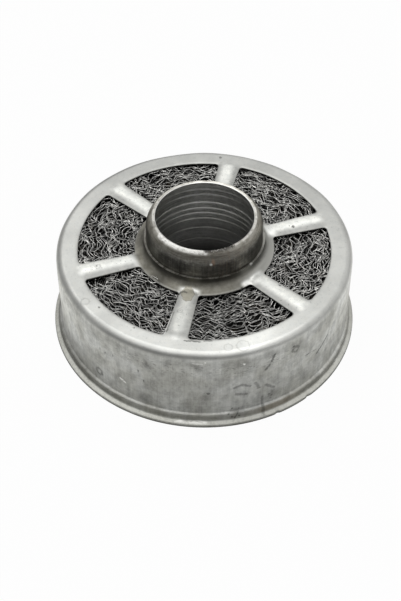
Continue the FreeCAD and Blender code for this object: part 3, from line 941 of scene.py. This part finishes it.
def crimped_strand(random, height, pitch):
    """The line of one strand wound round the whole roll, a pitch further out in each turn, and the
    way out from the axis. The crimps of neighbouring turns lie in each other, and lean over into
    curls here and there."""
    turns = (roll_outer - roll_inner) / pitch
    length = math.pi * (roll_inner + roll_outer) * turns
    count = int(length / strand_step)
    along = strand_step * np.arange(count)
    winding = (np.sqrt(roll_inner ** 2 + pitch * along / math.pi) - roll_inner) * 2 * math.pi / pitch
    radius = roll_inner + pitch * winding / (2 * math.pi)
    x, y = radius * np.cos(winding), radius * np.sin(winding)
    crimps_per_turn = round(math.pi * (roll_inner + roll_outer) / crimp_length) + random.integers(-8, 9)
    crimp = crimps_per_turn * winding + swirled(random, x, y, 0.8) + wander(random, count, 26, 0.8)
    curl = np.clip(0.6 + swirled(random, x, y, 0.5), -0.6, 1.6)
    slow = (10, 14, 20)
    drift = np.stack((swirled(random, x, y, 0.6, slow), swirled(random, x, y, 0.6, slow)), axis=1)
    lean = swirled(random, x, y, 0.6)
    swing = crimp_swing * (1 + wander(random, count, 12, 0.35)) * (0.6 + 0.4 * radius / 38)
    rise = 0.35 * np.sin(0.5 * crimp + swirled(random, x, y, 0.7)) + wander(random, count, 9, 0.25)
    radius = radius + swing * np.sin(crimp) + wander(random, count, 5, 0.16)
    winding = winding + (0.7 * curl * np.sin(2 * crimp + lean) + wander(random, count, 5, 0.1)) / radius
    out = np.stack((np.cos(winding), np.sin(winding), np.zeros(count)), axis=1)
    line = radius[:, None] * out
    line[:, :2] += drift
    reach = np.hypot(line[:, 0], line[:, 1])
    line *= (np.clip(reach, tube_radius + 1.2, wall_radius - 2.6) / reach)[:, None]
    line[:, 2] = height + rise
    return line, out


def wire(skin, line, out):
    """A wire along a line; out is a direction, at each point, that the wire never runs along."""
    way = np.gradient(line, axis=0)
    up = np.array((0.0, 0.0, 1.0)) + 0.2 * out
    side = np.cross(way, up)
    side /= np.linalg.norm(side, axis=1)[:, None]
    face = np.cross(side, way)
    face /= np.linalg.norm(face, axis=1)[:, None]
    corner = full_turn(3)[None, :, None]
    ring = wire_radius * (np.cos(corner) * side[:, None] + np.sin(corner) * face[:, None])
    numbers = skin.add(line[:, None] + ring)
    near, far = numbers[:-1], numbers[1:]
    quads = np.stack((near, np.roll(near, -1, axis=1), np.roll(far, -1, axis=1), far), axis=2)
    skin.faces.extend(quads.reshape(-1, 4).tolist())
    skin.faces.extend((numbers[0][::-1].tolist(), numbers[-1].tolist()))


def make_wire_edge(name, first, step, layers, pitch, seed):
    pieces = []
    random = np.random.default_rng(seed)
    for i in range(layers):
        skin = Skin()
        line, out = crimped_strand(random, first + i * step, pitch)
        line[:, 2] = line[:, 2].clip(pack_bottom + wire_radius, pack_top - wire_radius)
        wire(skin, line, out)
        pieces.append(skin.piece(f"{name}_{i + 1}", 180))
    return pieces


def make_stray_loop():
    """One loop of wire that sprang out over the hub's edge."""
    skin = Skin()
    turns = np.linspace(-0.9, 2 * math.pi + 0.7, 60)[:, None]
    heading = 226.2
    centre = np.array(around(27.4, heading, plate_top + 0.55))
    out = np.array(around(1, heading, 0))
    along = np.array(around(1, heading + 90, 0))
    rise = (0.5 - 0.9 * np.sin(turns / 2) ** 8) * np.array((0, 0, 1.0))
    line = centre + 1.9 * np.cos(turns) * out + 2.0 * np.sin(turns) * along + rise
    wire(skin, line, np.repeat(out[None], len(turns), axis=0))
    return skin.piece("stray_loop", 180)


def make_core():
    """The middle of the roll: a ring whose upper and lower sides are crimped like the turns."""
    skin = Skin()
    radii = np.arange(tube_radius + 0.4, wall_radius - 2, 0.75)
    turns = full_turn(240)
    radius = radii[:, None] + 0 * turns
    wave = 0.4 * np.sin(radius * 2 * math.pi / 1.5 + turns)
    wave = wave + 0.5 * np.sin(radius * turns * 2 * math.pi / crimp_length)
    sides = []
    for height, lift in ((pack_top - 3.7, 1), (pack_bottom + 3.0, -1)):
        points = np.stack((radius * np.cos(turns), radius * np.sin(turns), height + lift * wave), axis=2)
        sides.append(skin.add(points))
    upper, lower = sides
    skin.bridge_rows(upper)
    skin.bridge_rows(lower[::-1])
    skin.bridge(lower[0], upper[0])
    skin.bridge(upper[-1], lower[-1])
    return skin.piece("packing_core", 60)


wires = make_wire_edge("upper_wires", pack_top - 0.55, -layer_step, layers=5, pitch=1.3, seed=11)
wires += make_wire_edge("lower_wires", pack_bottom + 0.6, layer_step, layers=3, pitch=1.5, seed=23)
wires.append(make_stray_loop())
core = make_core()
for piece in wires + [core]:
    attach(piece, "root")
    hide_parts("wire_packing")


deep_wire_shade, wire_bright = (0.012, 0.012, 0.011), (0.95, 0.945, 0.91)
wire_tarnish = (0.20, 0.17, 0.13)


def make_wire_steel():
    """Wire that is bright near the roll's two ends and lost between them in painted shade, which also
    darkens the wires at the front; it is tarnished in patches.
    """
    material, place, shader = bare_metal("crimped_wire_steel")
    height = place.axes()[2]
    # painted shade: the wire darker with its depth into the roll
    depth = height.math("MINIMUM", pack_top - height, height - pack_bottom)
    clean_and_unshaded = depth.until(0.4, 1.9) * place.noise(0.8, 3.0).ramp(0.35, 0.6, 0.35, 1.0)
    # painted shade: the wires at the front darker
    front_wire_shade = 0.3 * place.spot(on_top(42, 275), 32, 0.8)
    front_wire_shade = front_wire_shade.most(0.22 * place.spot(on_top(40, 232), 24, 0.8))
    above_pack = depth.until(-0.6, -0.2)
    clean_and_unshaded = (clean_and_unshaded * (1 - front_wire_shade)).most(above_pack)
    colour = clean_and_unshaded.mix(deep_wire_shade, wire_bright)
    tarnish = place.noise(0.22, 3.0).ramp(0.55, 0.75, 0, 0.35)
    colour = tarnish.mix(colour, wire_tarnish)
    relief = place.noise(2.0, 2.0)
    finished(place, shader, colour, 0.42 - 0.16 * clean_and_unshaded, relief, 0.01)
    return material


wire_steel = make_wire_steel()
for piece in wires + [core]:
    piece.data.materials.append(wire_steel)


# The lower grille is a stamped disc of the same sheet as the shell, with six windows of its own. It
# lies against the shell's shoulder and carries the packing.

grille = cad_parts["lower_grille"]
grille.data.materials.clear()
grille.data.materials.append(shell_steel)


# The stage: a pale floor, a white background, one broad soft lamp overhead, and the camera of the
# photograph.

def background_seen(shade):
    """Two values: 1 for the camera's rays, and 1 for rays off or through something glossy. These
    are the rays that show the white background."""
    path = shade.add("LightPath", {}, {}, "Is Camera Ray")
    return path, path.output("Is Glossy Ray").most(path.output("Is Transmission Ray"))


def stage_piece(name, points, faces, make_surface):
    """A piece of the stage; make_surface adds its shader to the material's empty node tree."""
    mesh = bpy.data.meshes.new(name)
    mesh.from_pydata(points, [], faces)
    material = bpy.data.materials.new(name)
    material.use_nodes = True
    material.node_tree.nodes.clear()
    shade = Shade(material.node_tree)
    shade.add("OutputMaterial", {}, {"Surface": make_surface(shade)}, None)
    mesh.materials.append(material)
    return placed(name, mesh)


def floor_surface(shade):
    """Matt under the object, and from its edge outwards white background with a faint shadow."""
    off_axis = shade.add("TexCoord", {}, {}, "Object").vector("LENGTH")
    seen, mirrored = background_seen(shade)
    share = 0.96 * seen * off_axis.ramp(0.050, 0.058)
    share = share + 0.85 * mirrored * off_axis.ramp(0.056, 0.10)
    white = shade.add("Emission", {}, {"Color": (1, 1, 1, 1), "Strength": 1.0})
    matt = shade.add("BsdfDiffuse", {}, {"Color": (0.8, 0.8, 0.8, 1)})
    return shade.add("MixShader", {}, {0: share, 1: matt, 2: white})


def card_surface(shade):
    return shade.add("Emission", {}, {"Color": (0.3, 0.3, 0.3, 1), "Strength": 1.0})


def make_floor():
    reach = 3.0
    corners = [(-reach, -reach, 0), (reach, -reach, 0), (reach, reach, 0), (-reach, reach, 0)]
    return stage_piece("floor", corners, [(0, 1, 2, 3)], floor_surface)


def make_cards():
    """Grey cards round the table, tall on the camera's side, that only polished metal shows."""
    count, reach, foot = 96, 1.25, 0.01
    turns = full_turn(count)
    facing = np.clip((-np.sin(turns) - 0.3) / 0.5, 0, 1)
    circle = reach * directions(turns)
    low = np.column_stack((circle, np.full(count, foot)))
    high = np.column_stack((circle, 0.20 + 0.95 * facing))
    following = np.roll(np.arange(count), -1)
    faces = [(i, j, j + count, i + count) for i, j in enumerate(following.tolist())]
    cards = stage_piece("cards", np.concatenate((low, high)).tolist(), faces, card_surface)
    for ray in ("camera", "diffuse", "transmission", "volume_scatter", "shadow"):
        setattr(cards, "visible_" + ray, False)
    return cards


floor = make_floor()
cards = make_cards()

studio_level = 0.45
world = bpy.data.worlds.new("studio")
bpy.context.scene.world = world
world.use_nodes = True
world.node_tree.nodes.clear()
shade = Shade(world.node_tree)
seen, mirrored = background_seen(shade)
level = studio_level + (1 - studio_level) * seen.most(mirrored)
background = shade.add("Background", {}, {"Color": (1, 1, 1, 1), "Strength": level})
shade.add("OutputWorld", {}, {"Surface": background}, None)

lamp_data = bpy.data.lights.new("overhead", "AREA")
lamp_data.shape = "DISK"
lamp_data.size = 1.9
lamp_data.energy = 13
lamp = placed("overhead", lamp_data)
lamp.location = Vector((-0.3, 0.15, 1.5))
lamp.rotation_euler = lamp.location.to_track_quat("Z", "Y").to_euler()

camera_data = bpy.data.cameras.new("camera")
camera_data.sensor_fit = "VERTICAL"
camera_data.sensor_height = 36
picture_height, focal_pixels = 601, 1200
camera_data.lens = camera_data.sensor_height * focal_pixels / picture_height
camera = placed("camera", camera_data)
looking_down = 46.44
turns = ((0.24, "Z"), (90 - looking_down, "X"), (0.25, "Z"))
pan, tilt, roll = (Matrix.Rotation(math.radians(degrees), 4, axis) for degrees, axis in turns)
camera.matrix_world = Matrix.Translation((0, -0.33253, 0.35498)) @ pan @ tilt @ roll
bpy.context.scene.camera = camera
bpy.context.scene.view_settings.view_transform = "Standard"
